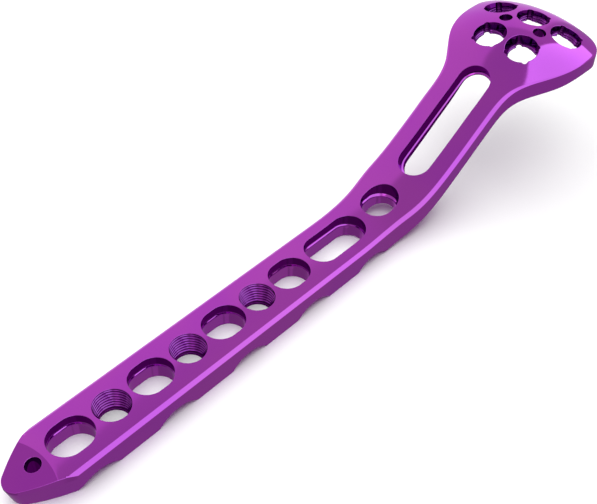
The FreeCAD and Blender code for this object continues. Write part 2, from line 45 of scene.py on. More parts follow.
FACET_X, FACET_T = -11.9, math.tan(math.radians(7.4))
SC_R, SC_H, SC_Y, SC_X = 5.00, 1.60, 3.10, -7.15
SC_RISE = SC_H / (HALF_W - SC_Y)
FIL = 0.07

# x, top height, half width, bevel width, bevel height, top sagitta, wall height, underside sagitta
ST = np.array([
    (47.6, 4.35, 5.52, 0.59, 0.51, 0.145, 3.695, 0.0),
    (49.8, 4.39, 5.52, 0.59, 0.51, 0.15, 3.705, 0.0),
    (51.6, 4.49, 5.525, 0.59, 0.51, 0.15, 3.71, 0.0),
    (53.6, 4.69, 5.555, 0.59, 0.52, 0.16, 3.71, 0.02),
    (55.7, 4.99, 5.65, 0.59, 0.53, 0.18, 3.71, 0.04),
    (58.2, 5.50, 5.87, 0.59, 0.55, 0.22, 3.67, 0.07),
    (60.7, 6.17, 6.24, 0.59, 0.58, 0.28, 3.58, 0.11),
    (63.2, 7.01, 6.50, 0.59, 0.61, 0.32, 3.51, 0.15),
    (65.8, 8.02, 6.56, 0.59, 0.64, 0.34, 3.45, 0.18),
    (68.3, 9.23, 6.56, 0.59, 0.67, 0.35, 3.37, 0.20),
    (70.8, 10.64, 6.56, 0.59, 0.68, 0.35, 3.27, 0.22),
    (73.4, 12.18, 6.56, 0.59, 0.68, 0.35, 3.18, 0.23),
    (75.9, 13.74, 6.56, 0.59, 0.68, 0.35, 3.11, 0.24),
    (78.4, 15.30, 6.57, 0.59, 0.67, 0.35, 3.05, 0.25),
    (81.0, 16.86, 6.58, 0.58, 0.65, 0.36, 2.98, 0.27),
    (83.0, 18.17, 6.76, 0.53, 0.58, 0.42, 2.89, 0.33),
    (85.0, 19.49, 7.44, 0.43, 0.45, 0.52, 2.82, 0.47),
    (87.0, 20.60, 8.70, 0.29, 0.30, 0.76, 2.79, 0.78),
    (89.1, 21.57, 10.07, 0.20, 0.20, 1.26, 2.78, 1.33),
    (91.1, 22.46, 11.12, 0.15, 0.15, 1.93, 2.76, 2.05),
    (93.1, 23.17, 11.86, 0.15, 0.15, 2.52, 2.70, 2.72),
    (95.1, 23.62, 12.36, 0.15, 0.15, 2.89, 2.56, 3.14),
    (97.2, 23.81, 12.63, 0.15, 0.15, 3.04, 2.45, 3.32),
    (99.4, 23.76, 12.71, 0.15, 0.15, 3.03, 2.41, 3.31),
    (101.7, 23.53, 12.71, 0.15, 0.15, 2.93, 2.41, 3.21),
    (103.7, 23.07, 12.71, 0.15, 0.15, 2.84, 2.42, 3.11),
    (105.8, 22.28, 12.71, 0.15, 0.15, 2.72, 2.45, 2.98),
    (107.8, 21.10, 12.71, 0.15, 0.15, 2.60, 2.50, 2.86),
])


def spline_table(x, y):
    # natural cubic through the stations, flat at the shaft end
    n = len(x)
    h = np.diff(x)
    A = np.zeros((n, n))
    b = np.zeros(n)
    A[0, 0], A[0, 1] = h[0] / 3, h[0] / 6
    b[0] = (y[1] - y[0]) / h[0]
    for i in range(1, n - 1):
        A[i, i - 1], A[i, i], A[i, i + 1] = h[i - 1] / 6, (h[i - 1] + h[i]) / 3, h[i] / 6
        b[i] = (y[i + 1] - y[i]) / h[i] - (y[i] - y[i - 1]) / h[i - 1]
    A[-1, -1] = 1.0
    return np.linalg.solve(A, b)


SX = ST[:, 0]
MOM = [spline_table(SX, ST[:, c]) for c in range(1, 8)]


def station(x, c):
    # one column of the station table at any x
    x = np.clip(x, SX[0], SX[-1])
    k = np.clip(np.searchsorted(SX, x) - 1, 0, len(SX) - 2)
    y, m = ST[:, c + 1], MOM[c]
    h = SX[k + 1] - SX[k]
    a = (SX[k + 1] - x) / h
    b = 1 - a
    return a * y[k] + b * y[k + 1] + ((a ** 3 - a) * m[k] + (b ** 3 - b) * m[k + 1]) * h * h / 6


def smin(a, b, k):
    h = np.clip(0.5 + 0.5 * (b - a) / k, 0, 1)
    return b * (1 - h) + a * h - k * h * (1 - h)


def smax(a, b, k):
    return -smin(-a, -b, k)


def sag(y, kap):
    return y * y * kap / (1 + np.sqrt(np.maximum(1 - y * y * kap * kap, 0.04)))


def half_width(x):
    return station(x, 1)


def z_top(x, y):
    pz, w, by, bz, cr = (station(x, c) for c in range(5))
    ay = np.abs(y)
    ye = w - by
    z = pz - sag(y, 2 * cr / (ye * ye + cr * cr))
    z = smin(z, pz - cr - bz * (ay - ye) / by, 0.035)
    return np.where(x < -5.0, smin(z, THICK + (x - FACET_X) * FACET_T, 0.02), z)


def z_bot(x, y):
    pz, w, by, bz, cr, wl, un = (station(x, c) for c in range(7))
    un = np.maximum(un, 0.0)
    z = pz - cr - bz - wl + un - sag(y, 2 * un / (w * w + un * un))
    for i in range(5):
        dx = x - SC_X - PITCH * i
        s = -SC_R + SC_RISE * (np.abs(y) - SC_Y) + np.sqrt(np.maximum(SC_R ** 2 - dx * dx, 0.0))
        z = smax(z, np.where(np.abs(dx) < SC_R, s, -9.0), 0.02)
    return z


def surf_normal(zf, x, y, up):
    e = 0.004
    gx = (zf(x + e, y) - zf(x - e, y)) / (2 * e)
    gy = (zf(x, y + e) - zf(x, y - e)) / (2 * e)
    n = np.stack([-gx, -gy, np.ones_like(gx)], -1)
    n /= np.linalg.norm(n, axis=-1, keepdims=True)
    return n if up else -n


# ------------------------------------------------------------------ mesh store
VERTS, NORMS, QUADS, TRIS, BORE = [], [], [], [], []
count = [0]


def add_points(P, N):
    i0 = count[0]
    VERTS.append(P.reshape(-1, 3))
    NORMS.append(N.reshape(-1, 3))
    count[0] += P.reshape(-1, 3).shape[0]
    return np.arange(i0, count[0]).reshape(P.shape[:-1])


def unit(a):
    return a / np.maximum(np.linalg.norm(a, axis=-1, keepdims=True), 1e-12)


def ring_tangent(P):
    return unit(np.roll(P, -1, 0) - np.roll(P, 1, 0))


def round_edge(P0, u, w, f, m=3):
    # rows of a small rounded edge, from the face that runs along u to the face that runs along w
    a, c = P0 + f * u, P0 + f * w
    return [(1 - t) ** 2 * a + 2 * t * (1 - t) * P0 + t * t * c for t in np.linspace(0, 1, m + 1)]


def band(G, kinds=(), crest=None, flank=(0, 1)):
    # closed band of rows from the top sheet to the bottom sheet; returns both border loops
    G = np.stack(G)
    dk = np.gradient(G, axis=0)
    dj = np.roll(G, -1, 1) - np.roll(G, 1, 1)
    N = unit(np.cross(dk, dj))
    N[0] = surf_normal(z_top, G[0, :, 0], G[0, :, 1], True)
    N[-1] = surf_normal(z_bot, G[-1, :, 0], G[-1, :, 1], False)
    idx = add_points(G, N)
    a, b = idx[:-1], idx[1:]
    QUADS.append(np.stack([a, np.roll(a, -1, 1), np.roll(b, -1, 1), b], -1).reshape(-1, 4))
    row = np.repeat(np.arange(len(a)), a.shape[1])
    # slot per face: 0 the plain finish, 1 and 3 darker copies of it that hold painted shade inside the holes
    kind = np.zeros(len(row), int)
    for first, last, k in kinds:
        kind[(row >= max(first, 2)) & (row <= min(last, len(a) - 3))] = k
    # along a thread only the faces in the flank share of a turn keep slot 3, the others take the darker slot 1: painted
    # shade as dark lines along the thread
    if crest is not None:
        mid = (crest[:-1] + crest[1:]).ravel() / 2
        mid = mid - np.floor(mid)
        kind[(kind == 3) & ((mid < flank[0]) | (mid > flank[1]))] = 1
    BORE.append(kind)
    return idx[0], idx[-1]


def sheet_dir(P0, zf, away):
    # unit vector in the surface, square to the edge, on the side of away
    n = surf_normal(zf, P0[:, 0], P0[:, 1], True)
    u = unit(np.cross(n, ring_tangent(P0)))
    s = np.sign((u * away).sum(-1, keepdims=True))
    return u * np.where(s == 0, 1, s)


def seat_on(P, zf):
    P = P.copy()
    P[:, 2] = zf(P[:, 0], P[:, 1])
    return P


LOOPS_TOP, LOOPS_BOT = [], []


def cut_hole(origin, turn, cen, dirs, radius, levels, fil=FIL, reach=(3.0, 9.0), span=None, kinds=((0, 999, 1),), thread=None):
    # cen, dirs: column centres (shares of the straight part) and directions in the hole's own plane
    # radius(h) gives (r, e) per column; levels: inner heights with the number of rows before each
    origin = np.array(origin, float)
    n = len(dirs)

    def pt(h):
        r, e = radius(h)
        q = np.stack([cen * e + dirs[:, 0] * r, dirs[:, 1] * r, h], -1)
        return origin + q @ turn.T

    def meet(zf, a, b):
        a, b = np.full(n, a), np.full(n, b)
        for _ in range(42):
            m = (a + b) / 2
            P = pt(m)
            over = P[:, 2] > zf(P[:, 0], P[:, 1])
            b = np.where(over, m, b)
            a = np.where(over, a, m)
        return (a + b) / 2

    ht = meet(z_top, -reach[0], reach[0])
    hb = meet(z_bot, -reach[1], -0.8)
    away = np.stack([dirs[:, 0], dirs[:, 1], np.zeros(n)], -1) @ turn.T
    P0, P1 = pt(ht), pt(hb)
    wt = unit(pt(ht - 0.05) - P0)
    wb = unit(pt(hb + 0.05) - P1)
    top = round_edge(P0, sheet_dir(P0, z_top, away), wt, fil)
    bot = round_edge(P1, sheet_dir(P1, z_bot, away), wb, fil)
    top[0] = seat_on(top[0], z_top)
    bot[0] = seat_on(bot[0], z_bot)
    rows = list(top[:-1])
    marks = [ht - fil] + [np.full(n, v) for v, _ in levels] + [hb + fil]
    steps = [k for _, k in levels] + [levels_last(levels, span)]
    for (a, b), k in zip(zip(marks[:-1], marks[1:]), steps):
        for t in np.arange(k) / k:
            rows.append(pt(a + (b - a) * t))
    rows.append(pt(hb + fil))
    rows += list(reversed(bot[:-1]))
    crest, flank = None, (0, 1)
    if thread is not None:
        # turn count of the thread at each point, whole numbers on the crests
        h = ((np.stack(rows) - origin) @ turn)[..., 2]
        t = h / thread[0] + thread[1] / (2 * math.pi)
        crest, flank = t, thread[2]
    it, ib = band(rows, kinds, crest, flank)
    LOOPS_TOP.append((it, rows[0][:, :2]))
    LOOPS_BOT.append((ib, rows[-1][:, :2]))


def levels_last(levels, span):
    return span or 4


def turn_of(ta, tb):
    # hole axis leaning toward -X by ta and toward +Y by -tb, as in the solid
    a, b = math.radians(-ta), math.radians(-tb)
    ry = np.array([[math.cos(a), 0, math.sin(a)], [0, 1, 0], [-math.sin(a), 0, math.cos(a)]])
    rx = np.array([[1, 0, 0], [0, math.cos(b), -math.sin(b)], [0, math.sin(b), math.cos(b)]])
    return ry @ rx


def stadium_columns(arc, straight):
    # shares of the straight part and directions, counter-clockwise
    a = np.linspace(-math.pi / 2, math.pi / 2, arc + 1)
    d = [np.stack([np.cos(a), np.sin(a)], -1)]
    c = [np.ones(arc + 1)]
    t = np.linspace(1, -1, straight + 1)[1:-1]
    d.append(np.tile([0.0, 1.0], (len(t), 1)))
    c.append(t)
    d.append(-d[0])
    c.append(-np.ones(arc + 1))
    d.append(np.tile([0.0, -1.0], (len(t), 1)))
    c.append(-t)
    return np.concatenate(c), np.concatenate(d)


def profile(points):
    hs = np.array([p[0] for p in points][::-1])
    rs = np.array([p[1] for p in points][::-1])
    es = np.array([p[2] for p in points][::-1])

    def f(h):
        return np.interp(h, hs, rs), np.interp(h, hs, es)
    return f


EYE = np.eye(3)

# plain holes, shaft slot and the hole in the bend: counterbore, conical seat, straight wall
SINK_D, WALL_R = 2.15, 2.79


def bored(origin, turn, r_top, e, wall_r, add, arc, straight):
    prof = profile([(2.0, r_top, e), (0.0, r_top, e), (-1.58, r_top + 0.05, e), (-1.66, r_top + 0.05, e),
                    (-1.96, wall_r + 0.01, e + add * 0.7), (-SINK_D, wall_r, e + add), (-12.0, wall_r, e + add)])
    c, d = stadium_columns(arc, straight)
    # the counterbore wall below the rounded rim takes the darker slot 1: painted shade in the upper ring; the seat and
    # the wall below keep the plain finish
    cut_hole(origin, turn, c, d, prof,
             [(-1.61, 4), (-1.66, 1), (-1.76, 1), (-1.86, 1), (-1.96, 1), (-SINK_D, 1)], span=4, kinds=((0, 6, 1),))


for i in range(4):
    bored((-7.3 + PITCH * i, 0, THICK), EYE, 2.99, 0.66, WALL_R, 0.22, 36, 5)
bored((47.6, 0, THICK), EYE, 3.05, 3.21, WALL_R, 0.22, 36, 20)
bored((58.98, 0, 5.73), turn_of(3.0, 0), 2.99, 0.45, 2.66, 0.0, 36, 4)

# neck slot: upper slot, narrow ledge, lower slot
NECK = turn_of(31.6, 0)
c, d = stadium_columns(40, 44)
prof = profile([(3.0, 3.05, 8.72), (-2.22, 3.05, 8.72), (-2.34, 2.84, 8.58), (-12.0, 2.84, 8.58)])
o = np.array([76.0, 0, 13.77]) + NECK @ np.array([-0.32, 0, 0])
# the upper wall and the lower slot take the darker slot 1, painted shade; the ledge between them keeps the plain finish
cut_hole(o, NECK, c, d, prof, [(-2.18, 4), (-2.22, 1), (-2.34, 2), (-2.38, 1)], span=4, kinds=((0, 6, 1), (10, 999, 1)))


# locking holes: cone with a fine internal thread
def round_columns(n, phase=0.0):
    a = np.arange(n) * 2 * math.pi / n + phase
    return a, np.zeros(n), np.stack([np.cos(a), np.sin(a)], -1)


def wave(t):
    # thread section from crest (0) to root (1), upward: open flank, short root, steep flank, flat crest
    f = t - np.floor(t)
    v = np.clip(np.minimum((f - 0.24) / 0.30, (0.92 - f) / 0.16), 0, 1)
    return 0.8 * v + 0.2 * v * v * (3 - 2 * v)


T_TOP, T_LOW, T_LAND, T_PITCH, T_AMP = 2.88, 2.36, 0.60, 0.50, 0.21
ang, c0, d0 = round_columns(84)


def lock_radius(h):
    cone = T_LOW + (T_TOP - T_LOW) * np.clip((h + THICK - T_LAND) / (THICK - T_LAND), 0, 2)
    fade = np.clip((-h - 0.10) / 0.35, 0, 1) * np.clip((h + THICK - T_LAND) / 0.30, 0, 1)
    return cone + T_AMP * fade * wave(h / T_PITCH + ang / (2 * math.pi)), np.zeros_like(h)


for i in range(3):
    # below the rim the thread takes the darker slots 3 and 1: painted shade inside the hole
    cut_hole((PITCH * i, 0, THICK), EYE, c0, d0, lock_radius, [], span=84, kinds=((3, 999, 3),), thread=(T_PITCH, ang, (0.24, 0.42)))

# head holes: conical mouth, four threaded columns and four smooth lobes
HEAD = {
    "a": (91.75, 3.50, 22.55, 14.0, 0.0),
    "b": (91.75, -3.50, 22.55, 14.0, 0.0),
    "c": (100.55, 7.12, 22.77, 3.0, 13.0),
    "d": (100.45, 0.0, 23.71, 3.0, 0.0),
    "e": (100.55, -7.12, 22.77, 3.0, -13.0),
}
RIM, CORE, MOUTH, LOBE_R, LOBE_OFF, LOBE_TURN = 3.05, 2.50, 1.35, 0.50, 2.68, 0.0
H_PITCH, H_AMP = 0.50, 0.20
angh, c1, d1 = round_columns(120, math.radians(LOBE_TURN))
rel = (angh - math.radians(LOBE_TURN + 45) + math.pi / 4) % (math.pi / 2) - math.pi / 4
inside = LOBE_R ** 2 - (LOBE_OFF * np.sin(rel)) ** 2
lobe = np.where(inside > 0, LOBE_OFF * np.cos(rel) + np.sqrt(np.maximum(inside, 0)), 0.0)


def head_radius(h):
    mouth = RIM + (RIM - CORE) / MOUTH * h
    fade = np.clip((-h - MOUTH + 0.10) / 0.25, 0, 1)
    core = CORE + H_AMP * fade * wave(h / H_PITCH + ang_h / (2 * math.pi))
    r = smax(np.maximum(core, 0.1), mouth, 0.05)
    return smax(r, lobe + 0 * h, 0.05), np.zeros_like(h)


ang_h = angh
for vals in HEAD.values():
    x, y, z, ta, tb = vals
    # the mouth takes the darker slot 1 and the thread the darker slots 3 and 1: painted shade inside the hole
    cut_hole((x, y, z), turn_of(ta, tb), c1, d1, head_radius, [(-MOUTH, 8)], reach=(2.0, 7.0), span=34, kinds=((0, 12, 1), (13, 999, 3)), thread=(H_PITCH, angh, (0.16, 0.66)))

# wire holes
angw, c2, d2 = round_columns(48)


def wire_radius(h):
    return np.full_like(h, 1.20), np.zeros_like(h)


for x, y, z, ta, tb in ((96.85, 3.58, 23.38, 4.0, 8.0), (96.85, -3.58, 23.38, 4.0, -8.0), (-13.65, 0.0, 4.12, 0, 0)):
    # the wire holes take the darker slot 1 over their whole wall: painted shade
    cut_hole((x, y, z), turn_of(ta, tb), c2, d2, wire_radius, [], reach=(1.5, 7.0), span=5)


# ------------------------------------------------------------------ outline of the plate
def circle_through(p, q, r):
    ax, ay, bx, by, cx, cy = *p, *q, *r
    d = 2 * (ax * (by - cy) + bx * (cy - ay) + cx * (ay - by))
    ux = ((ax * ax + ay * ay) * (by - cy) + (bx * bx + by * by) * (cy - ay) + (cx * cx + cy * cy) * (ay - by)) / d
    uy = ((ax * ax + ay * ay) * (cx - bx) + (bx * bx + by * by) * (ax - cx) + (cx * cx + cy * cy) * (bx - ax)) / d
    return ux, uy, math.hypot(ax - ux, ay - uy)


SLOPE = math.radians(32.0)
NOSE_UP = (-16.18, 2.24, -9.4, (-13.2, 4.32))
NOSE_LOW = (-14.99, 2.41, -8.2, (-12.55, 4.17))
N_NOSE, N_FLANK, N_NEAR = 22, 26, 7


def nose_half(spec):
    # front arc and flank of one nose section, on the +Y side, out to the side of the shaft
    cx, r, xs, mid = spec
    a = np.linspace(math.pi, math.pi / 2 + SLOPE, N_NOSE + 1)
    arc = np.stack([cx + r * np.cos(a), r * np.sin(a)], -1)
    ux, uy, R = circle_through(tuple(arc[-1]), mid, (xs, 5.85))
    a0 = math.atan2(arc[-1][1] - uy, arc[-1][0] - ux)
    a2 = math.atan2(5.85 - uy, xs - ux)
    ts = np.linspace(0, 1, 400)
    aa = a0 + (a2 - a0) * ts
    yy = uy + R * np.sin(aa)
    te = ts[np.argmax(yy >= HALF_W)]
    f = np.linspace(0, 1, N_FLANK + 1)
    f = np.concatenate([f[:-1], [1 - 0.006]])
    aa = a0 + (a2 - a0) * te * f
    flank = np.stack([ux + R * np.cos(aa), uy + R * np.sin(aa)], -1)
    corner_x = ux + R * math.cos(a0 + (a2 - a0) * te)
    return arc, flank[1:], corner_x


def near_side(x0, x1=-7.6):
    t = np.concatenate([[0.012], np.linspace(0, 1, N_NEAR + 1)[1:]])
    x = x0 + (x1 - x0) * t
    return np.stack([x, np.full_like(x, HALF_W)], -1)


def nose_part(spec):
    arc, flank, cx = nose_half(spec)
    return np.concatenate([arc, flank, near_side(cx)])


up_part, low_part = nose_part(NOSE_UP), nose_part(NOSE_LOW)

CORN_R, CORN_X, END_X = 5.18, 101.0, 106.35
xs = np.concatenate([np.arange(-7.6, 48.0, 0.42)[1:], np.linspace(48.1, CORN_X, 150)])
side = np.stack([xs, half_width(xs)], -1)
side[xs < 47.6, 1] = HALF_W
wc = half_width(np.array([CORN_X]))[0]
a = np.linspace(math.pi / 2, 0.0, 30)[1:]
corner = np.stack([CORN_X + CORN_R * np.cos(a), wc - CORN_R + CORN_R * np.sin(a)], -1)
ex, ey, er = circle_through((CORN_X + CORN_R, wc - CORN_R), (END_X, 0), (CORN_X + CORN_R, -(wc - CORN_R)))
b0 = math.atan2(wc - CORN_R - ey, CORN_X + CORN_R - ex)
b = np.linspace(b0, 0.0, 18)[1:]
end = np.stack([ex + er * np.cos(b), ey + er * np.sin(b)], -1)
rest = np.concatenate([side, corner, end])


def whole(near):
    # the loop runs clockwise seen from above: nose front, +Y side, head end, -Y side
    half = np.concatenate([near, rest])
    return np.concatenate([half, (half * [1, -1])[1:-1][::-1]])


UP, LOW = whole(up_part), whole(low_part)
n_out = len(UP)


def plan_in(P):
    t = np.roll(P, -1, 0) - np.roll(P, 1, 0)
    n = np.stack([t[:, 1], -t[:, 0]], -1)
    return n / np.linalg.norm(n, axis=-1, keepdims=True)


def wall_at(z):
    # plan of the side wall at height z: it leans in below the lip of the nose
    s = np.clip((3.05 - z) / 4.05, 0, 1)[:, None]
    return UP * (1 - s) + LOW * s


zt = z_top(UP[:, 0], UP[:, 1])
zb = np.zeros(n_out)
for _ in range(30):
    PB = wall_at(zb)
    zb = 0.5 * zb + 0.5 * z_bot(PB[:, 0], PB[:, 1])
PB = wall_at(zb)
inw = plan_in(UP)
inw3 = np.concatenate([inw, np.zeros((n_out, 1))], 1)
P0 = np.concatenate([UP, zt[:, None]], 1)
P1 = np.concatenate([PB, zb[:, None]], 1)


def wall_point(z):
    return np.concatenate([wall_at(z), z[:, None]], 1)


wt = unit(wall_point(zt - 0.05) - P0)
wb = unit(wall_point(zb + 0.05) - P1)
top = round_edge(P0, sheet_dir(P0, z_top, inw3), wt, FIL)
bot = round_edge(P1, sheet_dir(P1, z_bot, inw3), wb, FIL)
top[0] = seat_on(top[0], z_top)
bot[0] = seat_on(bot[0], z_bot)
ramp = np.clip((UP[:, 0] - 20.0) / 20.0, 0, 1)
zl = 3.05 * (1 - ramp) + (zt - 0.35 * (zt - zb)) * ramp
rows = list(top[:-1])
for za, zc, k in ((zt - FIL, zl + 0.03, 2), (zl + 0.03, zl - 0.03, 2), (zl - 0.03, zb + FIL, 6)):
    for t in np.arange(k) / k:
        rows.append(wall_point(za + (zc - za) * t))
rows.append(wall_point(zb + FIL))
rows += list(reversed(bot[:-1]))
it, ib = band(rows)
OUT_TOP, OUT_BOT = (it, rows[0][:, :2]), (ib, rows[-1][:, :2])


# ------------------------------------------------------------------ the two sheets
def inside_poly(P, poly):
    x, y = P[:, 0][:, None], P[:, 1][:, None]
    x0, y0 = poly[:, 0][None], poly[:, 1][None]
    x1, y1 = np.roll(x0, -1, 1), np.roll(y0, -1, 1)
    hit = ((y0 > y) != (y1 > y)) & (x < (x1 - x0) * (y - y0) / np.where(y1 == y0, 1e-12, y1 - y0) + x0)
    return hit.sum(1) % 2 == 1


def chunked(fn, P, *args):
    return np.concatenate([fn(P[i:i + 2000], *args) for i in range(0, len(P), 2000)]) if len(P) else np.zeros(0, bool)


def nearest(P, Q):
    return np.sqrt(((P[:, None, :] - Q[None]) ** 2).sum(-1).min(1))


def crease_lines_top():
    out = []
    for sg in (1, -1):
        x = np.concatenate([np.arange(-11.2, 48.0, 0.45), np.arange(48.1, 97.0, 0.36)])
        w, by = half_width(x), station(x, 2)
        for off in (-0.045, 0.0, 0.045):
            y = w - np.maximum(by, 0.16) - off
            out.append(np.stack([x, sg * y], -1))
    y = np.arange(-4.25, 4.26, 0.25)
    kap = 2 * CROWN / ((HALF_W - BEVEL_Y) ** 2 + CROWN ** 2)
    x = FACET_X - sag(y, kap) / FACET_T
    for off in (-0.07, 0.0, 0.07):
        out.append(np.stack([x + off, y], -1))
    return out


def crease_lines_bot():
    out = []
    for i in range(5):
        for sg in (1, -1):
            dx = np.linspace(-3.55, 3.55, 27)
            y = SC_Y + (SC_R - np.sqrt(SC_R ** 2 - dx * dx)) / SC_RISE
            for off in (-0.05, 0.0, 0.05):
                yy = y + off
                x = SC_X + PITCH * i + dx
                ok = yy < HALF_W - 0.2
                if i == 0:
                    ok &= x > -9.9
                out.append(np.stack([x, sg * yy], -1)[ok])
    return out


def sheet(outer, holes, creases, zf, up, step):
    loops = [outer] + holes
    border = np.concatenate([q for _, q in loops])
    ids = np.concatenate([i for i, _ in loops])
    pts = [border]
    edges = []
    base = 0
    for _, q in loops:
        k = len(q)
        e = np.arange(k) + base
        edges.append(np.stack([e, np.roll(e, -1)], -1))
        base += k
    for line in creases:
        k = len(line)
        e = np.arange(k) + base
        edges.append(np.stack([e[:-1], e[1:]], -1))
        pts.append(line)
        base += k
    fixed = np.concatenate(pts)
    gx = np.arange(outer[1][:, 0].min(), outer[1][:, 0].max(), step)
    gy = np.arange(-13.0, 13.0, step * 0.866)
    X, Y = np.meshgrid(gx, gy)
    X = X + (np.arange(len(gy)) % 2)[:, None] * step / 2
    P = np.stack([X.ravel(), Y.ravel()], -1)
    keep = chunked(inside_poly, P, outer[1])
    for _, q in holes:
        keep &= ~chunked(inside_poly, P, q)
    P = P[keep]
    P = P[chunked(nearest, P, fixed) > step * 0.55]
    allp = np.concatenate([fixed, P])
    res = delaunay_2d_cdt([Vector(p) for p in allp], [tuple(int(v) for v in e) for e in np.concatenate(edges)], [], 0, 1e-6)
    V2, F, orig = np.array([tuple(v) for v in res[0]]), res[2], res[3]
    F = np.array([f for f in F if len(f) == 3])
    cen = V2[F].mean(1)
    keep = chunked(inside_poly, cen, outer[1])
    for _, q in holes:
        near = (np.abs(cen - q.mean(0)) < np.ptp(q, axis=0) / 2 + 0.5).all(1)
        sub = np.where(near)[0]
        keep[sub] &= ~chunked(inside_poly, cen[sub], q)
    F = F[keep]
    used = np.unique(F)
    nb = len(border)
    where = np.full(len(V2), -1)
    fresh = []
    for v in used:
        src = [s for s in orig[v] if s < nb]
        if src:
            where[v] = ids[src[0]]
        else:
            fresh.append(v)
    fresh = np.array(fresh)
    x, y = V2[fresh, 0], V2[fresh, 1]
    Q = np.stack([x, y, zf(x, y)], -1)
    where[fresh] = add_points(Q, surf_normal(zf, x, y, up))
    T = where[F]
    TRIS.append(T if up else T[:, ::-1])
    lost = nb - len(set(where[used]) & set(ids.tolist()))
    print("sheet", "top" if up else "bottom", "points", len(allp), "triangles", len(F), "border points lost", lost,
          "split", len(V2) - len(allp))


sheet(OUT_TOP, LOOPS_TOP, crease_lines_top(), z_top, True, 0.43)
sheet(OUT_BOT, LOOPS_BOT, crease_lines_bot(), z_bot, False, 0.52)

# ------------------------------------------------------------------ the plate
V = np.concatenate(VERTS)
N = np.concatenate(NORMS)
V = (V - [PITCH, 0, 0]) * 0.001
faces = [tuple(map(int, f)) for f in np.concatenate(QUADS)] + [tuple(map(int, f)) for f in np.concatenate(TRIS)]
me = bpy.data.meshes.new("bone_plate_machined")
me.from_pydata(V.tolist(), [], faces)
me.validate()
bore = np.concatenate(BORE)
bm = bmesh.new()
bm.from_mesh(me)
bmesh.ops.recalc_face_normals(bm, faces=bm.faces)
open_edges = sum(1 for e in bm.edges if len(e.link_faces) != 2)
volume = bm.calc_volume(signed=True)
if volume < 0:
    bmesh.ops.reverse_faces(bm, faces=bm.faces)
bm.to_mesh(me)
bm.free()
print("plate", len(me.vertices), "points", sum(len(p.vertices) - 2 for p in me.polygons), "triangles,",
      "open edges", open_edges, "volume mm3", round(abs(volume) * 1e9, 1))
plate = bpy.data.objects.new("bone_plate_machined", me)
bpy.context.scene.collection.objects.link(plate)
for p in me.polygons:
    p.use_smooth = True
auto = np.zeros(len(me.vertices) * 3)
me.vertices.foreach_get("normal", auto)
auto = auto.reshape(-1, 3)
if len(auto) == len(N):
    flip = (auto * N).sum(1) < 0
    N[flip] *= -1
    bad = np.abs((auto * N).sum(1)) < 0.5
    N[bad] = auto[bad]
    me.normals_split_custom_set_from_vertices(unit(N).tolist())
slots = np.zeros(len(me.polygons), int)
slots[:len(bore)] = bore
fn = np.zeros(len(me.polygons) * 3)
fc = np.zeros(len(me.polygons) * 3)
me.polygons.foreach_get("normal", fn)
me.polygons.foreach_get("center", fc)
fn, fc = fn.reshape(-1, 3), fc.reshape(-1, 3)
# the tip facet's faces take slot 2, a darker copy of the finish: painted shade on the facet
tip = (np.arange(len(slots)) >= len(bore)) & (fc[:, 0] < -0.0262) & (fn @ np.array([-math.sin(math.radians(7.4)), 0, math.cos(math.radians(7.4))]) > 0.9996)
slots[tip] = 2
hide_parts("bone_plate")
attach(plate, "root")


# ------------------------------------------------------------------ finish
def node(nt, kind, **vals):
    n = nt.nodes.new(kind)
    for k, v in vals.items():
        if k in n.inputs:
            n.inputs[k].default_value = v
        else:
            setattr(n, k, v)
    return n


def link(tree, a, b):
    tree.links.new(a, b)


def ramp(tree, v, a, b, c=0.0, d=1.0, smooth=True):
    n = tree.nodes.new("ShaderNodeMapRange")
    n.interpolation_type = "SMOOTHSTEP" if smooth else "LINEAR"
    tree.links.new(v, n.inputs["Value"])
    n.inputs["From Min"].default_value = a
    n.inputs["From Max"].default_value = b
    n.inputs["To Min"].default_value = c
    n.inputs["To Max"].default_value = d
    return n.outputs["Result"]


def calc(tree, op, a, b=None):
    n = tree.nodes.new("ShaderNodeMath")
    n.operation = op
    for k, v in enumerate((a, b)):
        if v is None:
            continue
        if isinstance(v, (int, float)):
            n.inputs[k].default_value = v
        else:
            tree.links.new(v, n.inputs[k])
    return n.outputs[0]


def mix_colour(tree, fac, a, b):
    n = tree.nodes.new("ShaderNodeMix")
    n.data_type = "RGBA"
    tree.links.new(fac, n.inputs[0])
    for k, v in ((6, a), (7, b)):
        if isinstance(v, tuple):
            n.inputs[k].default_value = v
        else:
            tree.links.new(v, n.inputs[k])
    return n.outputs[2]


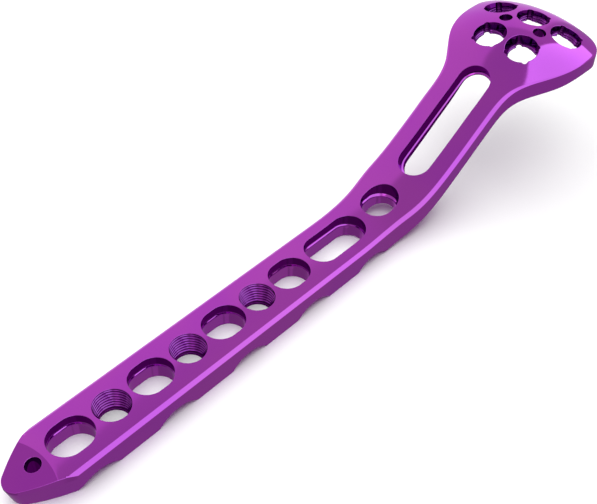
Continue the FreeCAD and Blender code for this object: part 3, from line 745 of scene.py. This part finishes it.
def titanium(name, thin, thick, rough, edge=(0.90, 0.74, 0.93, 1)):
    """colour-anodised titanium: base colours of the thin and thick parts of the film, mean roughness,
    and the tint at grazing view"""
    mat = bpy.data.materials.new(name)
    mat.use_nodes = True
    nt = mat.node_tree
    bsdf = nt.nodes["Principled BSDF"]
    bsdf.inputs["Metallic"].default_value = 1.0
    bsdf.inputs["Specular Tint"].default_value = edge
    tc = node(nt, "ShaderNodeTexCoord")
    # the film's thickness, so its hue, drifts a little over the plate
    film = node(nt, "ShaderNodeTexNoise", Scale=70.0, Detail=2.0, Roughness=0.5)
    link(nt, tc.outputs["Object"], film.inputs["Vector"])
    link(nt, mix_colour(nt, ramp(nt, film.outputs["Fac"], 0.35, 0.65), thin, thick), bsdf.inputs["Base Color"])
    # blasted and polished skin: fine grain in gloss and height
    grain = node(nt, "ShaderNodeTexNoise", Scale=2600.0, Detail=3.0, Roughness=0.6)
    link(nt, tc.outputs["Object"], grain.inputs["Vector"])
    cloud = node(nt, "ShaderNodeTexNoise", Scale=220.0, Detail=3.0, Roughness=0.55)
    link(nt, tc.outputs["Object"], cloud.inputs["Vector"])
    gloss = calc(nt, "ADD", ramp(nt, grain.outputs["Fac"], 0.3, 0.7, rough - 0.02, rough + 0.015),
                 ramp(nt, cloud.outputs["Fac"], 0.3, 0.7, 0.0, 0.025))
    link(nt, gloss, bsdf.inputs["Roughness"])
    bump = node(nt, "ShaderNodeBump", Strength=0.04, Distance=0.00001)
    link(nt, grain.outputs["Fac"], bump.inputs["Height"])
    link(nt, bump.outputs["Normal"], bsdf.inputs["Normal"])
    return mat


me.materials.append(titanium("anodised_titanium", (0.605, 0.078, 0.715, 1), (0.635, 0.090, 0.690, 1), 0.055))
# darker copy of the finish for the hole walls: the anodised film's tone with painted shade, the dark of the hole
# interiors laid into the base colour
me.materials.append(titanium("anodised_titanium_bores_painted_shade", (0.145, 0.004, 0.200, 1), (0.160, 0.005, 0.205, 1), 0.05,
                             (0.80, 0.30, 0.88, 1)))
# darker copy of the finish for the tip facet: painted shade, the facet's darker look laid into the base colour
me.materials.append(titanium("anodised_titanium_tip_painted_shade", (0.400, 0.044, 0.480, 1), (0.420, 0.050, 0.470, 1), 0.065))
# darker copy of the finish for the open flanks of the threads: painted shade inside the threaded holes
me.materials.append(titanium("anodised_titanium_threads_painted_shade", (0.370, 0.052, 0.480, 1), (0.385, 0.058, 0.470, 1), 0.05))
me.polygons.foreach_set("material_index", slots.tolist())
me.update()

# ------------------------------------------------------------------ floor, light, camera
fm = bpy.data.materials.new("floor")
fm.use_nodes = True
fb = fm.node_tree.nodes["Principled BSDF"]
fb.inputs["Base Color"].default_value = (0.90, 0.90, 0.90, 1)
fb.inputs["Roughness"].default_value = 0.9
fb.inputs["Specular IOR Level"].default_value = 0.0
bpy.ops.mesh.primitive_plane_add(size=6.0, location=(0.03, 0, -0.00002))
floor = bpy.context.object
floor.name = "floor"
floor.data.materials.append(fm)
floor.visible_glossy = False

# studio: a bright panel at the right, a softer one behind at the left, a dim ceiling, dim surround below
world = bpy.data.worlds.new("studio")
bpy.context.scene.world = world
world.use_nodes = True
wt = world.node_tree
wc_ = wt.nodes.new("ShaderNodeTexCoord")
ws = wt.nodes.new("ShaderNodeSeparateXYZ")
link(wt, wc_.outputs["Generated"], ws.inputs[0])
DX, DY, DZ = ws.outputs


def lin(a, b, c, d):
    """a*x + b*y + c*z + d of the direction"""
    v = None
    for k, w in ((DX, a), (DY, b), (DZ, c)):
        if w:
            t = calc(wt, "MULTIPLY", k, w)
            v = t if v is None else calc(wt, "ADD", v, t)
    return calc(wt, "ADD", v, d)


def mask(*parts):
    v = None
    for (a, b, c, d), soft in parts:
        t = ramp(wt, lin(a, b, c, d), -soft, soft)
        v = t if v is None else calc(wt, "MULTIPLY", v, t)
    return v


def blend(m, a, b):
    """a where m is 0, b where m is 1"""
    return calc(wt, "ADD", calc(wt, "MULTIPLY", a, calc(wt, "SUBTRACT", 1.0, m)), calc(wt, "MULTIPLY", b, m))


surround = blend(mask(((0, 0, 1, 0.165), 0.085)), ramp(wt, DX, -0.22, -0.08, 0.22, 0.31), ramp(wt, DZ, 0.78, 0.94, 0.47, 0.40))
surround = blend(mask(((0, 0, -1, -0.86), 0.03)), surround, 0.30)
surround = blend(mask(((-1, 0, 0, -0.35), 0.15), ((0, 0, -1, 0.75), 0.1), ((0, 0, 1, 0.1), 0.1)), surround, 0.42)
surround = blend(mask(((-0.35, -0.48, -0.81, -0.988), 0.008)), surround, 0.31)
soft2 = lin(0, 0, -0.225, 0.806)
edge2 = calc(wt, "MAXIMUM", mask(((-0.12, 1, 0, -0.44), 0.02)), mask(((0, 0, -1, 0.715), 0.035)))
m2 = calc(wt, "MULTIPLY", edge2, mask(((-0.306, 1, 0, -0.01), 0.03), ((0, 0, 1, 0.62), 0.12), ((1, 0, 0, 0.45), 0.1)))
soft1 = lin(0, 0.48, -0.75, 1.80)
m1 = mask(((0, -1, 0.25, -0.13), 0.012), ((-0.30, 0, 1, -0.19), 0.02), ((1, -0.6, 0, 0.20), 0.2))
spot = mask(((-0.676, -0.227, 0.693, -0.975), 0.012))
sky = calc(wt, "ADD", blend(m1, blend(m2, surround, soft2), soft1), calc(wt, "MULTIPLY", spot, 0.9))
bg = wt.nodes["Background"]
link(wt, sky, bg.inputs["Strength"])
link(wt, mix_colour(wt, m1, (1, 1, 1, 1), (1.0, 1.6, 1.15, 1)), bg.inputs["Color"])


def area(name, loc, target, size, power):
    ld = bpy.data.lights.new(name, "AREA")
    ld.shape = "SQUARE"
    ld.size = size
    ld.energy = power
    lob = bpy.data.objects.new(name, ld)
    bpy.context.scene.collection.objects.link(lob)
    lob.location = loc
    lob.rotation_euler = (Vector(target) - Vector(loc)).to_track_quat("-Z", "Y").to_euler()
    return lob


world.cycles_visibility.diffuse = False
overhead = area("overhead", (0.0, 0.35, 1.3), (0.03, 0, 0), 3.0, 66.0)
overhead.visible_glossy = False

bpy.context.scene.view_settings.view_transform = "Standard"
bpy.context.scene.view_settings.look = "None"

R = np.array([[0.68020376, -0.73265504, 0.02322585], [-0.50051583, -0.48736598, -0.71551262], [0.53554342, 0.47506947, -0.69821361]])
M = Matrix([list(R[0]), list(-R[1]), list(-R[2])]).transposed()
cam = bpy.data.cameras.new("camera")
cam.sensor_fit = "HORIZONTAL"
cam.sensor_width = 36.0
cam.lens = 61.72
cam.shift_x = -0.0037
cam.shift_y = 0.0010
cam.clip_start, cam.clip_end = 0.005, 20.0
co = bpy.data.objects.new("camera", cam)
bpy.context.scene.collection.objects.link(co)
co.matrix_world = Matrix.Translation(Vector((-0.06308, -0.07769, 0.12121))) @ M.to_4x4()
bpy.context.scene.camera = co
bpy.context.view_layer.update()
